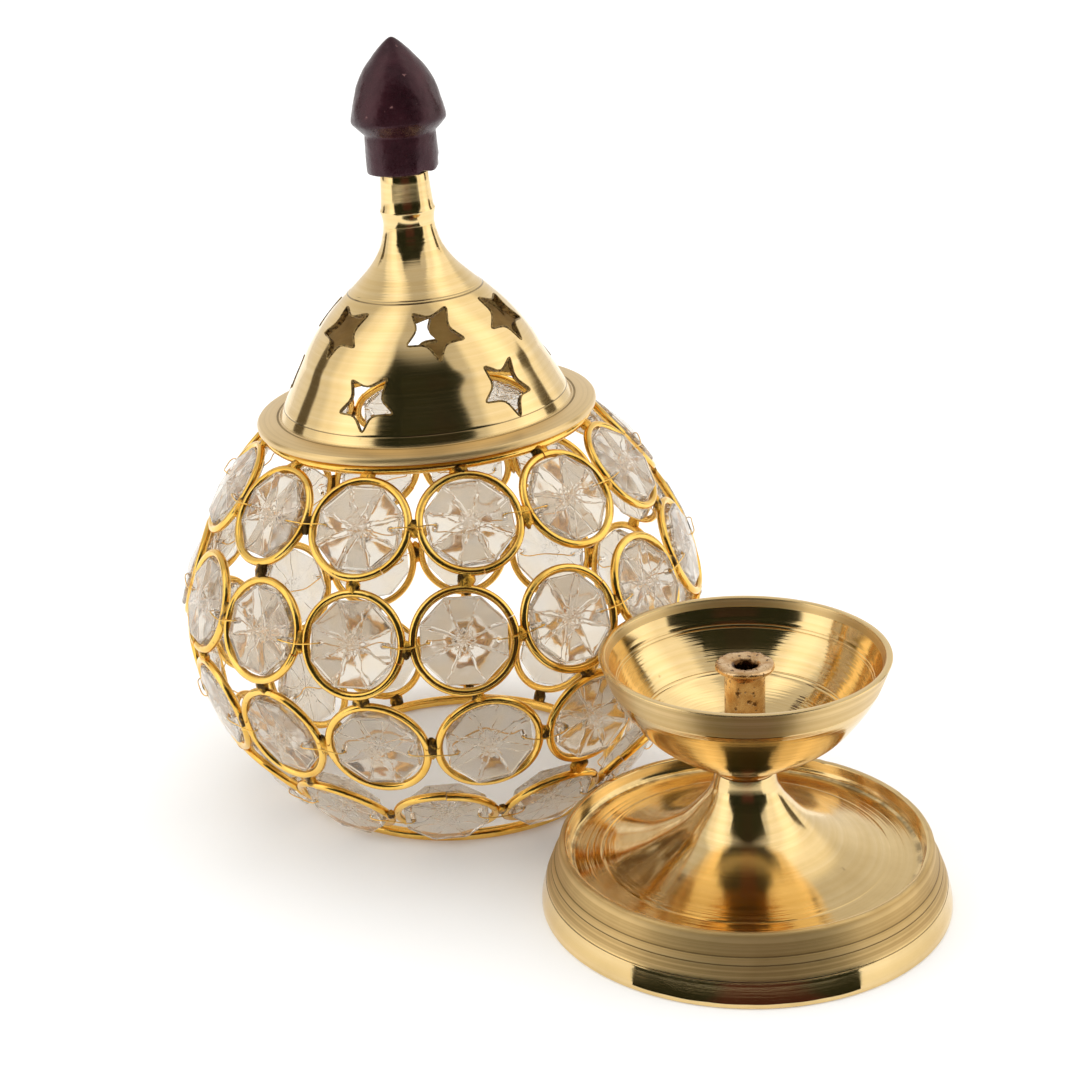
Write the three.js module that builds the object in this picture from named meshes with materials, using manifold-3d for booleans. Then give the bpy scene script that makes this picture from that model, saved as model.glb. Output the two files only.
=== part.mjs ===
// Crystal-shaded table burner, shown with its cover lifted off and standing beside the base.
// Millimetres, +Z up. The origin is the centre of the whole arrangement, on the table.

import * as THREE from 'three';
import { mergeVertices } from 'three/addons/utils/BufferGeometryUtils.js';
import Module from 'manifold-3d';

const wasm = await Module();
wasm.setup();

// ---------------------------------------------------------------- driving dimensions
const GAP = 0.3;                    // clearance left between two pieces that touch
const ROUND = 32;                   // facets around the large turned pieces

const FOOT_RADIUS = 40;             // foot at the table
const TRAY_HEIGHT = 13.1;           // top of the raised lip around the tray
const LIP_OUTER = 35.6;
const LIP_INNER = 34.5;
const TRAY_FLOOR = 9.8;             // tray floor beside the lip
const FOOT_WALL = 2.4;
const NECK_HEIGHT = 27.5;           // top of the trumpet neck that carries the bowl
const NECK_RADIUS = 5.8;
const NECK_CEILING = 17;            // underside of the neck, inside the hollow foot

const BOWL_TOP = 52;
const BOWL_RADIUS = 27.5;
const BOWL_LIP = 1.3;
const BOWL_FLOOR = 31.6;
const STUD_RADIUS = 2.3;            // stud under the bowl, through the neck, with a nut below
const NUT_RADIUS = 4.8;
const NUT_HEIGHT = 3;

const WICK_TOP = 49.8;
const WICK_FLANGE = 5.6;
const WICK_TUBE = 3.9;
const WICK_BORE = 2.15;
const WICK_SEAT = 6.4;              // foot flange of the wick holder, on the bowl's floor

const COVER_X = -57;                // axis of the cover where it stands beside the base
const COVER_Y = 58.8;
const COVER_LEAN = THREE.MathUtils.degToRad(2);    // the soldered cage leans to one side

const HOOP_WIRE = 1.15;             // wire radius of the bottom hoop
const HOOP_RADIUS = 34;             // outer radius of the bottom hoop, to drop into the tray
const TOP_HOOP_WIRE = 0.95;
const TOP_HOOP_RADIUS = 33.4;
const TOP_HOOP_Z = 82.3;
const RING_WIRE = 0.85;             // wire radius of the rings that hold the beads
const BEAD_RADIUS = 8.7;
const BEAD_HALF = 3.5;
const THREAD_WIRE = 0.4;

// One entry for each row of rings, from the lid down: count, radius of the ring centres from the
// axis, height, how far the ring faces up, angle of the first joint, outer radius of a ring, and
// the share of the lean that the row follows.
const ROWS = [
  { count: 12, radius: 41.2, z: 72.9, faceUp: 38, firstJoint: 207.2, outer: 10.7, lean: 1 },
  { count: 15, radius: 51.6, z: 53.2, faceUp: 20, firstJoint: 216.8, outer: 10.75, lean: 1 },
  { count: 15, radius: 52.2, z: 31.6, faceUp: -13, firstJoint: 220.1, outer: 10.85, lean: 1 },
  { count: 12, radius: 41.8, z: 11.6, faceUp: -44, firstJoint: 253, outer: 10.85, lean: 0.5 },
];

const FLANGE_RADIUS = 35.3;
const FLANGE_BOTTOM = 83.6;
const FLANGE_TOP = 85.3;
const LID_WALL = 1;
const SPIGOT_TOP = 133.7;
const SPIGOT_RADIUS = 4.85;
const SPIGOT_BORE = 2;
const THROAT_CEILING = 118.5;       // the lid is solid brass above this, apart from the bore
const STAR_RADIUS = 6.2;
const STAR_WAIST = 0.48;            // inner radius of a star as a share of its outer radius
// The stars are marked out and sawn by hand, so each has its own place. Height and radius of the dome
// at the row, slope of the dome's face, and for each star its azimuth from the front and its turn.
const STAR_ROWS = [
  { z: 105.1, radius: 18.85, faceUp: 39,
    stars: [[-51, 28], [12, 37], [68.5, 29], [128, 34], [188, 41], [249, 33]] },
  { z: 93.5, radius: 26.2, faceUp: 28,
    stars: [[-23.5, 36], [42, 36], [114, 31], [187, 39], [262, 33]] },
];

const KNOB_BOTTOM = 134;
const KNOB_RIM_Z = 144.6;
const KNOB_RIM = 9.5;
const KNOB_STEM = 7.25;
const KNOB_TIP = 160.3;
const KNOB_BORE_TOP = 143;
const SCREW_RADIUS = 1.7;
const SCREW_HEAD = 3.4;
const SCREW_HEAD_HEIGHT = 2.6;
const SCREW_TOP = 141;

// ---------------------------------------------------------------- materials
function finish(color, roughness, metalness) {
  return new THREE.MeshStandardMaterial({ color, roughness, metalness });
}
const turnedBrass = () => finish(0xc9a95f, 0.22, 1);
const castBrass = () => finish(0xc08a3a, 0.45, 1);
const goldWire = () => finish(0xd9a02c, 0.18, 1);
const crystal = () => finish(0xece4da, 0.05, 0);
const phenolic = () => finish(0x3a1d22, 0.35, 0);
const steel = () => finish(0x9a9a98, 0.35, 1);

// ---------------------------------------------------------------- helpers
const rad = THREE.MathUtils.degToRad;

// A closed profile of [radius, height] points turned about Z.
function turned(profile, segments) {
  const points = profile.map(([r, z]) => new THREE.Vector2(r, z));
  return new THREE.LatheGeometry(points, segments).rotateX(Math.PI / 2);
}

// Points on a smooth curve through a few [radius, height] points.
function smooth(points, steps) {
  const curve = new THREE.SplineCurve(points.map(([r, z]) => new THREE.Vector2(r, z)));
  return curve.getPoints(steps).map((p) => [p.x, p.y]);
}

function toSolid(geometry) {
  const bare = geometry.clone();
  bare.deleteAttribute('uv');
  bare.deleteAttribute('normal');
  const merged = mergeVertices(bare, 1e-4);
  const index = merged.index.array;
  const triangles = [];
  for (let i = 0; i < index.length; i += 3) {
    const [a, b, c] = [index[i], index[i + 1], index[i + 2]];
    if (a !== b && b !== c && c !== a) triangles.push(a, b, c);
  }
  return new wasm.Manifold(new wasm.Mesh({
    numProp: 3,
    vertProperties: new Float32Array(merged.attributes.position.array),
    triVerts: new Uint32Array(triangles),
  }));
}

function toGeometry(solid) {
  const mesh = solid.getMesh();
  const geometry = new THREE.BufferGeometry();
  geometry.setAttribute('position', new THREE.BufferAttribute(mesh.vertProperties, 3));
  geometry.setIndex(new THREE.BufferAttribute(mesh.triVerts, 1));
  geometry.computeVertexNormals();
  return geometry;
}

function piece(name, geometry, material) {
  const mesh = new THREE.Mesh(geometry, material);
  mesh.name = name;
  return mesh;
}

// Where ring number i of a row lies: its hole faces outward, tipped up by the row's faceUp.
function ringPlace(row, i) {
  const azimuth = rad(row.firstJoint + (i + 0.5) * 360 / row.count);
  const tip = rad(row.faceUp);
  const normal = new THREE.Vector3(
    Math.cos(tip) * Math.cos(azimuth), Math.cos(tip) * Math.sin(azimuth), Math.sin(tip));
  const along = new THREE.Vector3(-Math.sin(azimuth), Math.cos(azimuth), 0);
  const up = new THREE.Vector3().crossVectors(normal, along);
  const place = new THREE.Matrix4().makeBasis(along, up, normal);
  return place.setPosition(
    row.radius * Math.cos(azimuth), row.radius * Math.sin(azimuth), row.z);
}

// ---------------------------------------------------------------- base
function foot() {
  const trumpet = smooth([
    [NECK_RADIUS, NECK_HEIGHT], [6.7, 24], [8.9, 20.6], [13.2, 16.4], [19.5, 12.9],
    [26.5, 10.7], [LIP_INNER - 1.6, TRAY_FLOOR]], 8);
  const profile = [
    [FOOT_RADIUS, 0],
    [FOOT_RADIUS, 1.2],
    [39.05, 4.9],
    [37.9, 7.8],
    [36.3, 12],
    [LIP_OUTER, TRAY_HEIGHT],
    [LIP_INNER, TRAY_HEIGHT],
    [LIP_INNER - 0.3, TRAY_FLOOR + 1],
    ...trumpet.reverse(),
    [STUD_RADIUS + GAP, NECK_HEIGHT],
    [STUD_RADIUS + GAP, NECK_CEILING],
    [7.2, NECK_CEILING],
    [10.5, 14.2],
    [18, 10.6],
    [27, 8.2],
    [33, 7.4],
    [FOOT_RADIUS - FOOT_WALL - 0.7, 4],
    [FOOT_RADIUS - FOOT_WALL, 0],
    [FOOT_RADIUS, 0],
  ];
  return piece('foot', turned(profile, ROUND), turnedBrass());
}

function bowl() {
  const outside = smooth([
    [6.6, 29.7], [13.6, 32.9], [18.8, 36.8], [22.3, 41.1], [25.1, 45.6], [BOWL_RADIUS, BOWL_TOP]], 6);
  const inside = smooth([
    [BOWL_RADIUS - BOWL_LIP, BOWL_TOP], [23.6, 45.9], [20.7, 41.6], [17, 37.7], [12, 34.3],
    [6.5, 32.2], [0, BOWL_FLOOR]], 7);
  const profile = [
    [0, NECK_CEILING - NUT_HEIGHT - 1.6],
    [STUD_RADIUS, NECK_CEILING - NUT_HEIGHT - 1.6],
    [STUD_RADIUS, NECK_HEIGHT + GAP],
    [NECK_RADIUS + 0.3, NECK_HEIGHT + GAP],
    [NECK_RADIUS + 0.3, 29.3],
    ...outside,
    ...inside,
  ];
  return piece('bowl', turned(profile, ROUND), turnedBrass());
}

function bowlNut() {
  const top = NECK_CEILING - GAP;
  const hexagon = turned(
    [[0, top - NUT_HEIGHT], [NUT_RADIUS, top - NUT_HEIGHT], [NUT_RADIUS, top], [0, top]], 6);
  const reach = NUT_HEIGHT + 2;
  const hole = new THREE.CylinderGeometry(STUD_RADIUS + GAP, STUD_RADIUS + GAP, reach, 20);
  hole.rotateX(Math.PI / 2).translate(0, 0, top - NUT_HEIGHT / 2);
  return piece('bowl_nut', toGeometry(toSolid(hexagon).subtract(toSolid(hole))), steel());
}

function wickHolder() {
  const seat = BOWL_FLOOR + 1.1;
  const profile = [
    [WICK_BORE, seat],
    [WICK_SEAT, seat],
    [WICK_SEAT, seat + 1],
    [WICK_TUBE, seat + 1.6],
    [WICK_TUBE - 0.1, WICK_TOP - 1.8],
    [WICK_FLANGE, WICK_TOP - 0.9],
    [WICK_FLANGE, WICK_TOP],
    [WICK_BORE, WICK_TOP],
    [WICK_BORE, seat],
  ];
  return piece('wick_holder', turned(profile, 16), castBrass());
}

// ---------------------------------------------------------------- cage
function hoop(name, radius, wire, z) {
  const geometry = new THREE.TorusGeometry(radius, wire, 5, 28);
  geometry.translate(0, 0, z);
  return piece(name, geometry, goldWire());
}

// The rings of one row, soldered to each other side by side.
function ringRow(name, row) {
  const rings = [];
  for (let i = 0; i < row.count; i += 1) {
    const ring = new THREE.TorusGeometry(row.outer - RING_WIRE, RING_WIRE, 4, 10);
    rings.push(toSolid(ring.applyMatrix4(ringPlace(row, i))));
  }
  const joint = row.radius / Math.cos(Math.PI / row.count);
  for (let i = 0; i < row.count; i += 1) {
    const azimuth = rad(row.firstJoint + i * 360 / row.count);
    const solder = new THREE.OctahedronGeometry(1.25);
    solder.translate(joint * Math.cos(azimuth), joint * Math.sin(azimuth), row.z);
    rings.push(toSolid(solder));
  }
  return piece(name, toGeometry(wasm.Manifold.union(rings)), goldWire());
}

function beadGeometry() {
  const profile = [
    [0, -BEAD_HALF], [4.4, -BEAD_HALF], [BEAD_RADIUS, -0.9], [BEAD_RADIUS, 0.9],
    [4.4, BEAD_HALF], [0, BEAD_HALF]];
  return turned(profile, 8);
}

function beads(rowNumber, row) {
  const list = [];
  for (let i = 0; i < row.count; i += 1) {
    const name = `bead_${rowNumber}_${String(i + 1).padStart(2, '0')}`;
    list.push(piece(name, beadGeometry().applyMatrix4(ringPlace(row, i)), crystal()));
  }
  return list;
}

// The beads of one row on their threading wire, which passes outside each joint of the rings.
// The wire's two ends meet inside the first bead.
function beadString(name, row) {
  const solids = [];
  const route = [];
  const step = 360 / row.count;
  const tip = rad(row.faceUp);
  const offset = RING_WIRE + THREAD_WIRE + 3 * GAP;
  const joint = row.radius / Math.cos(Math.PI / row.count) + offset * Math.cos(tip);
  for (let i = 0; i < row.count; i += 1) {
    const place = ringPlace(row, i);
    solids.push(toSolid(beadGeometry().applyMatrix4(place)));
    const azimuth = rad(row.firstJoint + (i + 1) * step);
    route.push(new THREE.Vector3().setFromMatrixPosition(place));
    route.push(new THREE.Vector3(
      joint * Math.cos(azimuth), joint * Math.sin(azimuth), row.z + offset * Math.sin(tip)));
  }
  const section = new THREE.Shape();
  section.moveTo(THREAD_WIRE, 0);
  section.lineTo(0, THREAD_WIRE);
  section.lineTo(-THREAD_WIRE, 0);
  section.lineTo(0, -THREAD_WIRE);
  section.closePath();
  const wire = new THREE.ExtrudeGeometry(section, {
    steps: row.count * 4,
    bevelEnabled: false,
    extrudePath: new THREE.CatmullRomCurve3(route, true),
  });
  solids.push(toSolid(wire));
  return piece(name, toGeometry(wasm.Manifold.union(solids)), crystal());
}

// ---------------------------------------------------------------- lid and knob
function starShape() {
  const shape = new THREE.Shape();
  for (let i = 0; i < 10; i += 1) {
    const radius = i % 2 === 0 ? STAR_RADIUS : STAR_RADIUS * STAR_WAIST;
    const angle = Math.PI / 2 + i * Math.PI / 5;
    const x = radius * Math.cos(angle);
    const y = radius * Math.sin(angle);
    if (i === 0) shape.moveTo(x, y);
    else shape.lineTo(x, y);
  }
  shape.closePath();
  return shape;
}

function starCutters() {
  const cutters = [];
  for (const row of STAR_ROWS) {
    for (const [azimuth, turn] of row.stars) {
      const star = new THREE.ExtrudeGeometry(starShape(), { depth: 8, bevelEnabled: false });
      star.translate(0, 0, -5);
      star.rotateZ(rad(turn));
      const spot = { count: 1, radius: row.radius, z: row.z, faceUp: row.faceUp,
        firstJoint: azimuth - 90 - 180 };
      cutters.push(toSolid(star.applyMatrix4(ringPlace(spot, 0))));
    }
  }
  return cutters;
}

function lid() {
  const dome = [
    [29.8, 86.9], [27.4, 91.4], [25.2, 95.3], [21.3, 102], [15.5, 108.6], [8.7, 115.2],
    [5.5, 121.7]];
  const inside = [[28.6, 87], [26.3, 91.2], [24.2, 94.9], [20.4, 101.4], [14.8, 107.6], [8.3, 113.6]];
  const profile = [
    [FLANGE_RADIUS, FLANGE_BOTTOM],
    [FLANGE_RADIUS, FLANGE_TOP - 0.5],
    [FLANGE_RADIUS - 0.6, FLANGE_TOP],
    [30.6, FLANGE_TOP + 0.4],
    ...smooth(dome, 8),
    [5.2, 123.6],
    [5.65, 126.2],
    [5.3, 127],
    [SPIGOT_RADIUS, SPIGOT_TOP],
    [SPIGOT_BORE, SPIGOT_TOP],
    [SPIGOT_BORE, THROAT_CEILING],
    [5.2, THROAT_CEILING - 0.9],
    ...smooth(inside, 6).reverse(),
    [29.2, FLANGE_BOTTOM + LID_WALL],
    [29.2, FLANGE_BOTTOM],
    [FLANGE_RADIUS, FLANGE_BOTTOM],
  ];
  const shell = toSolid(turned(profile, ROUND));
  const cut = shell.subtract(wasm.Manifold.union(starCutters()));
  return piece('lid', toGeometry(cut), turnedBrass());
}

function knob() {
  const nose = smooth([
    [KNOB_RIM, KNOB_RIM_Z], [8.9, 147], [7.6, 151.2], [4.9, 156], [0.6, KNOB_TIP]], 7);
  const profile = [
    [SPIGOT_BORE, KNOB_BOTTOM],
    [KNOB_STEM, KNOB_BOTTOM],
    [KNOB_STEM - 0.15, 141.5],
    [KNOB_RIM - 0.4, KNOB_RIM_Z - 0.9],
    ...nose,
    [0, KNOB_TIP],
    [0, KNOB_BORE_TOP],
    [SPIGOT_BORE, KNOB_BORE_TOP],
    [SPIGOT_BORE, KNOB_BOTTOM],
  ];
  return piece('knob', turned(profile, 16), phenolic());
}

function knobScrew() {
  const headTop = THROAT_CEILING - 0.9 - GAP;
  const profile = [
    [0, headTop - SCREW_HEAD_HEIGHT],
    [SCREW_HEAD, headTop - SCREW_HEAD_HEIGHT],
    [SCREW_HEAD, headTop],
    [SCREW_RADIUS, headTop],
    [SCREW_RADIUS, SCREW_TOP],
    [0, SCREW_TOP],
  ];
  return piece('knob_screw', turned(profile, 12), steel());
}

// ---------------------------------------------------------------- assembly
function base() {
  return new THREE.Group().add(foot(), bowl(), bowlNut(), wickHolder());
}

// A group that leans with the cage, pivoting on the table at the cover's axis.
function leaning(share, ...pieces) {
  const group = new THREE.Group().add(...pieces);
  group.rotation.y = -COVER_LEAN * share;
  return group;
}

function cover() {
  const group = new THREE.Group();
  group.position.set(COVER_X, COVER_Y, 0);
  group.add(hoop('bottom_hoop', HOOP_RADIUS - HOOP_WIRE, HOOP_WIRE, HOOP_WIRE));
  ROWS.forEach((row, i) => {
    const number = i + 1;
    const strung = number === ROWS.length;
    const rowBeads = strung ? [beadString(`bead_string_${number}`, row)] : beads(number, row);
    group.add(leaning(row.lean, ringRow(`ring_row_${number}`, row), ...rowBeads));
  });
  const topHoop = hoop('top_hoop', TOP_HOOP_RADIUS, TOP_HOOP_WIRE, TOP_HOOP_Z);
  group.add(leaning(1, topHoop, lid(), knob(), knobScrew()));
  return group;
}

const assembly = new THREE.Group().add(base(), cover());
const box = new THREE.Box3().setFromObject(assembly, true);
const centre = box.getCenter(new THREE.Vector3());
assembly.position.set(-centre.x, -centre.y, -box.min.z);

export default new THREE.Group().add(assembly);
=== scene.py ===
"""Looks of the crystal-shaded table burner: its turned brass base, and beside it the lift-off cover,
a cage of soldered wire rings that each hold a crystal bead, under a pierced brass dome with a knob."""

import math
import random

import bmesh
import bpy
from mathutils import Matrix, Vector, noise


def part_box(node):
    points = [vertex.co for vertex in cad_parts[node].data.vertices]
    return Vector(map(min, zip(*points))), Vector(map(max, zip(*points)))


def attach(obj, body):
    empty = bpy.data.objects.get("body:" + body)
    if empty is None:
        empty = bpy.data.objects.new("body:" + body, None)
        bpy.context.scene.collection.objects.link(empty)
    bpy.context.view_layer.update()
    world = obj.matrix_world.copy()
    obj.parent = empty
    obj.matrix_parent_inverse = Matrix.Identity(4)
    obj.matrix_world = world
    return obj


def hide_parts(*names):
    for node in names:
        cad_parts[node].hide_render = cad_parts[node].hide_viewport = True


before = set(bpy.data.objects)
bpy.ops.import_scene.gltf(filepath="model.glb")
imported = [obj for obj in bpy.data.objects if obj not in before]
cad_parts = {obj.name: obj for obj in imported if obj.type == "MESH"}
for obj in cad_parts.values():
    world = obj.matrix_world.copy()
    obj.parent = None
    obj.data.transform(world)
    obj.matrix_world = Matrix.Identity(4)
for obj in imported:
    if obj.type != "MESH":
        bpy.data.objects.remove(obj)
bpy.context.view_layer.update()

# ---------- driving values
MM = 0.001                      # shapes are worked out in millimetres, objects are in metres

CAMERA_FROM_BASE = (-37.5, -350.5, 210.85)      # from the foot of the base's axis, mm
CAMERA_PITCH = math.radians(21.02)
CAMERA_ROLL = math.radians(-2.37)
CAMERA_LENS = 68.26

RING_WIRE = 0.85                # wire radii
BOTTOM_HOOP_WIRE = 1.15
TOP_HOOP_WIRE = 0.95
BOTTOM_HOOP_RADIUS = 32.85
FOOT_RADIUS = 40
TOP_HOOP_RADIUS = 33.4
TOP_HOOP_Z = 82.3
THREAD_WIRE = 0.13
SEAM_GAP = 0.12                 # where the wire of a ring was cut
LONGEST_LINK = 4.6              # of solder between the rows, from one wire's middle to the other
COARSE_GAIN = 7.0               # how much deeper the tool marks are where they show
SATIN_ROUGHNESS = 0.42          # added where the polish is left out
DIRT = 0.65                     # how much the dirt in a groove covers
DIRT_HALF_HEIGHT = 0.00011      # of the line of dirt, in metres
SOFT_EDGE = 0.0006              # of a band of tool marks, in metres

# Rows of rings from the lid down. faces_up is the tip of the rings, beads_up that of their beads.
ROWS = [
    dict(count=12, radius=41.2, z=72.9, faces_up=38, beads_up=36, first=207.2, outer=10.7, lean=1),
    dict(count=15, radius=51.6, z=53.2, faces_up=20, beads_up=19, first=216.8, outer=10.75, lean=1),
    dict(count=15, radius=52.2, z=31.6, faces_up=-13, beads_up=-10, first=220.1, outer=10.85, lean=1),
    dict(count=12, radius=41.8, z=11.6, faces_up=-44, beads_up=-27, first=253, outer=10.85, lean=0.5),
]

BEAD_SIDE = 8.4                 # from the bead's centre to the middle of one of its eight sides
BEAD_CORNER = math.radians(1.7)     # half of what a cut corner takes of the turn
BEAD_GIRDLE = 0.9
BEAD_SHOULDER = 1.2
BEAD_SHOULDER_IN = 0.965
BEAD_PEAK = 2.5
BEAD_TABLE = 1.5
BEAD_TABLE_Z = 2.26
BEAD_HOLE_X = 6.7
BEAD_HOLE_RADIUS = 0.62
BEAD_BEVEL = 0.13
BEAD_TIP = 6                    # how far a bead is tipped or turned by chance, in degrees
BEAD_TURN = 4

STAR_RADIUS = 6.5
STAR_WAIST = 0.5
STAR_UNEVEN = 0.08              # how far a point is in or out by chance, as a share
STAR_BURR = 0.21                # radius of the raised burr that the saw leaves round a star
RIM_STEP = 0.15                 # the shortest step along a burr
RIM_POINTS = 9                  # a shorter rim than this isn't a star's
# Each star was marked out and sawn by hand: its azimuth from the front and its turn, in degrees.
STAR_ROWS = [
    dict(z=105.1, radius=18.85, faces_up=39,
         stars=[(-51, 28), (12, 37), (68.5, 29), (128, 34), (188, 41), (249, 33)]),
    dict(z=93.5, radius=26.2, faces_up=28,
         stars=[(-23.5, 36), (42, 36), (114, 31), (187, 39), (262, 33)]),
]


def centre_of(node):
    low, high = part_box(node)
    return (low + high) / 2


def link(obj):
    bpy.context.scene.collection.objects.link(obj)


def rise(height):
    return Vector((0, 0, height))


def polar(radius, turn, height=0):
    """A point at a radius from Z, turned about it."""
    return Vector((radius * math.cos(turn), radius * math.sin(turn), height))


foot_centre = centre_of("foot")
hoop_centre = centre_of("bottom_hoop")
top_hoop_centre = centre_of("top_hoop")
BASE_PLACE = Matrix.Translation((foot_centre.x, foot_centre.y, 0))
COVER_POINT = Vector((hoop_centre.x, hoop_centre.y, 0))
COVER_LEAN = math.atan2(COVER_POINT.x - top_hoop_centre.x, top_hoop_centre.z)


def cover_place(share):
    """Where a piece of the cover lies that follows a share of the cage's lean."""
    return Matrix.Translation(COVER_POINT) @ Matrix.Rotation(-COVER_LEAN * share, 4, "Y")


# ---------- node helpers
def node(tree, kind, inputs=None, **settings):
    """Adds a node. An input is a number or colour, or another node's output to join to it."""
    made = tree.nodes.new(kind)
    for key, value in settings.items():
        setattr(made, key, value)
    for key, value in (inputs or {}).items():
        if isinstance(value, bpy.types.NodeSocket):
            tree.links.new(value, made.inputs[key])
        else:
            made.inputs[key].default_value = value
    return made


def start_material(name, **sockets):
    material = bpy.data.materials.new(name)
    material.use_nodes = True
    shader = material.node_tree.nodes["Principled BSDF"]
    for key, value in sockets.items():
        shader.inputs[key.replace("_", " ")].default_value = value
    return material, material.node_tree, shader


def feed(tree, shader, **sockets):
    """Joins outputs to the shader's sockets, each named with _ in place of a space."""
    for key, value in sockets.items():
        tree.links.new(value, shader.inputs[key.replace("_", " ")])


def object_coords(tree):
    return node(tree, "ShaderNodeTexCoord").outputs["Object"]


def split(tree, vector):
    return node(tree, "ShaderNodeSeparateXYZ", {"Vector": vector}).outputs


def ring_coords(tree):
    """Distance from the object's axis and height: a pattern on these runs in circles."""
    parts = split(tree, object_coords(tree))
    flat = node(tree, "ShaderNodeCombineXYZ", {"X": parts["X"], "Y": parts["Y"]}).outputs[0]
    out = node(tree, "ShaderNodeVectorMath", {0: flat}, operation="LENGTH").outputs["Value"]
    return node(tree, "ShaderNodeCombineXYZ", {"X": out, "Y": parts["Z"]}).outputs[0]


def speckle(tree, vector, scale, detail, roughness):
    made = node(tree, "ShaderNodeTexNoise", {
        "Vector": vector, "Scale": scale, "Detail": detail, "Roughness": roughness})
    return made.outputs["Fac"]


def spread(tree, value, low, high, to_low=0, to_high=1):
    made = node(tree, "ShaderNodeMapRange", {
        "Value": value, "From Min": low, "From Max": high, "To Min": to_low, "To Max": to_high})
    return made.outputs["Result"]


def blend_colour(tree, share, first, second, how="MIX"):
    made = node(tree, "ShaderNodeMix", {0: share, 6: first, 7: second}, data_type="RGBA",
                blend_type=how)
    return made.outputs[2]


def maths(tree, how, first, second=0.0):
    return node(tree, "ShaderNodeMath", {0: first, 1: second}, operation=how).outputs[0]


def times(tree, first, second):
    return maths(tree, "MULTIPLY", first, second)


def within(tree, height, low, high):
    """1 between two heights and 0 outside, with a short soft edge."""
    above = spread(tree, height, low, low + SOFT_EDGE)
    below = spread(tree, height, high, high + SOFT_EDGE, 1, 0)
    return times(tree, above, below)


def bump(tree, height, distance, strength=1.0, under=None):
    inputs = {"Height": height, "Distance": distance, "Strength": strength}
    if under is not None:
        inputs["Normal"] = under
    return node(tree, "ShaderNodeBump", inputs).outputs[0]


def rgb(red, green, blue):
    return (red, green, blue, 1.0)


# ---------- materials
def turned_brass(name, line_depth, tarnish, gloss, coarse, satin, cuts=(), corner=None):
    """Lathe-turned brass: fine turning lines around the axis, faint tarnish. Coarse and satin are
    the heights between which the tool marks show, or the polish is left out by a share outside a
    radius. Cuts are the heights of grooves with dirt in them, and corner is the radii and heights
    of a corner where grime stays. All lengths are in metres."""
    material, tree, shader = start_material(
        name, Metallic=1.0, Anisotropic=0.7, Anisotropic_Rotation=0.25)
    rings = ring_coords(tree)
    spots = object_coords(tree)
    height = split(tree, spots)["Z"]
    out = split(tree, rings)["X"]
    satin_low, satin_high, satin_radius, satin_share = satin
    marked = within(tree, height, *coarse)
    outside = times(tree, maths(tree, "GREATER_THAN", out, satin_radius), satin_share)
    unpolished = times(tree, within(tree, height, satin_low, satin_high), outside)
    fine = speckle(tree, rings, 5200, 3.0, 0.7)
    medium = speckle(tree, rings, 1100, 2.0, 0.5)
    wide = speckle(tree, spots, 45, 4.0, 0.6)
    stain = speckle(tree, spots, 210, 5.0, 0.65)
    clean = blend_colour(tree, spread(tree, medium, 0.35, 0.7),
                         rgb(0.82, 0.60, 0.28), rgb(0.88, 0.67, 0.35))
    toned = blend_colour(tree, spread(tree, wide, 0.42, 0.75, 0, tarnish), clean,
                         rgb(0.50, 0.34, 0.13))
    spotted = blend_colour(tree, spread(tree, stain, 0.70, 0.80, 0, 0.7), toned,
                           rgb(0.25, 0.15, 0.06))
    streaks = spread(tree, speckle(tree, rings, 1500, 3.0, 0.6), 0.35, 0.65, 0.35, 1.0)
    dulled = blend_colour(tree, times(tree, unpolished, streaks), spotted,
                          rgb(0.63, 0.565, 0.45), "MULTIPLY")
    dirt = 0.0
    for cut_height in cuts:
        near = node(tree, "ShaderNodeMath", {0: height, 1: cut_height, 2: DIRT_HALF_HEIGHT},
                    operation="COMPARE").outputs[0]
        dirt = maths(tree, "ADD", near, dirt)
    if corner:
        patches = spread(tree, speckle(tree, spots, 330, 4.0, 0.6), 0.38, 0.62, 0, 0.9)
        place = times(tree, within(tree, out, *corner[:2]), within(tree, height, *corner[2:]))
        dirt = maths(tree, "MAXIMUM", dirt, times(tree, place, patches))
    dirtied = blend_colour(tree, times(tree, dirt, DIRT), dulled, rgb(0.10, 0.065, 0.025))
    polish = spread(tree, fine, 0.3, 0.7, gloss, gloss + 0.08)
    roughness = maths(tree, "ADD", polish, times(tree, unpolished, SATIN_ROUGHNESS))
    broken = times(tree, fine, spread(tree, wide, 0.3, 0.7, 0.5, 1.0))
    lines = bump(tree, broken, line_depth)
    marks = times(tree, maths(tree, "MAXIMUM", marked, times(tree, unpolished, 0.5)), COARSE_GAIN)
    ridges = times(tree, speckle(tree, rings, 2100, 1.0, 0.5), marks)
    deep = bump(tree, maths(tree, "ADD", medium, ridges), line_depth * 2.2, under=lines)
    pits = bump(tree, spread(tree, stain, 0.70, 0.80, 1, 0), 0.00001, 0.6, under=deep)
    around = node(tree, "ShaderNodeTangent", direction_type="RADIAL", axis="Z").outputs[0]
    feed(tree, shader, Base_Color=dirtied, Roughness=roughness, Normal=pits, Tangent=around,
         Metallic=spread(tree, unpolished, 0, 1, 1, 0.86))
    return material


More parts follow.
